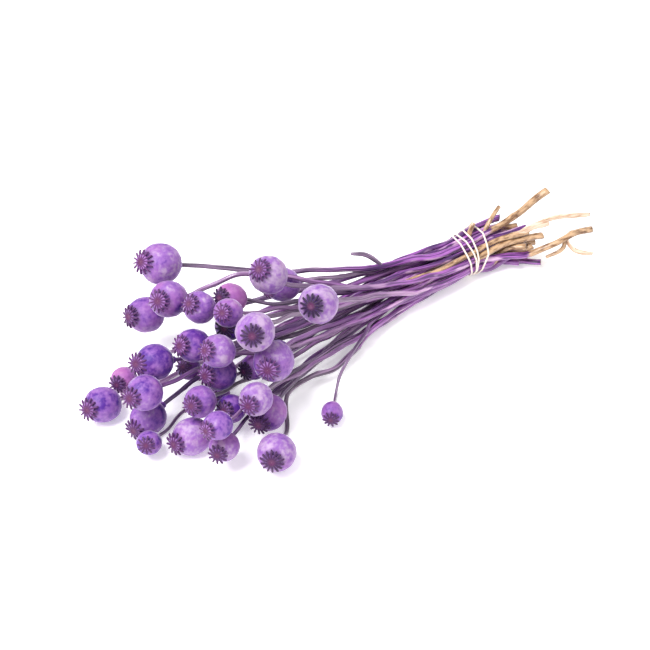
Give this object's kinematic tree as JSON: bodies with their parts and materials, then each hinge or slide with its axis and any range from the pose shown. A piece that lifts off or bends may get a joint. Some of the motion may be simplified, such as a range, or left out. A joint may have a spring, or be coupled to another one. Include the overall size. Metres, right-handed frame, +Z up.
{
  "type": "bunch of dried poppy seed heads",
  "caption": "Tied bunch of dyed, dried poppy seed heads, lying down: round capsules with rayed crowns fan out on woody stems that an elastic band gathers near their cut ends.",
  "frame": {"origin": "on the surface the bunch lies on, under the middle of its bounding box", "axes": "+Z up; the bunch lies along X, with its seed heads towards -X and its cut ends towards +X; the crowns lean towards -Y"},
  "size_m": [0.5026, 0.2304, 0.1189],
  "materials": {
    "stalk": "dried plant, dyed, matt",
    "band": "pale stretched elastic"
  },
  "bodies": {
    "root": {"stalk_01": "stalk", "stalk_02": "stalk", "stalk_03": "stalk", "stalk_04": "stalk", "stalk_05": "stalk", "stalk_06": "stalk", "stalk_07": "stalk", "stalk_08": "stalk", "stalk_09": "stalk", "stalk_10": "stalk", "stalk_11": "stalk", "stalk_12": "stalk", "stalk_13": "stalk", "stalk_14": "stalk", "stalk_15": "stalk", "stalk_16": "stalk", "stalk_17": "stalk", "stalk_18": "stalk", "stalk_19": "stalk", "stalk_20": "stalk", "stalk_21": "stalk", "stalk_22": "stalk", "stalk_23": "stalk", "stalk_24": "stalk", "stalk_25": "stalk", "stalk_26": "stalk", "stalk_27": "stalk", "stalk_28": "stalk", "stalk_29": "stalk", "stalk_30": "stalk", "stalk_31": "stalk", "stalk_32": "stalk", "stalk_33": "stalk", "stalk_34": "stalk", "tie_band": "band"}
  },
  "joints": []
}
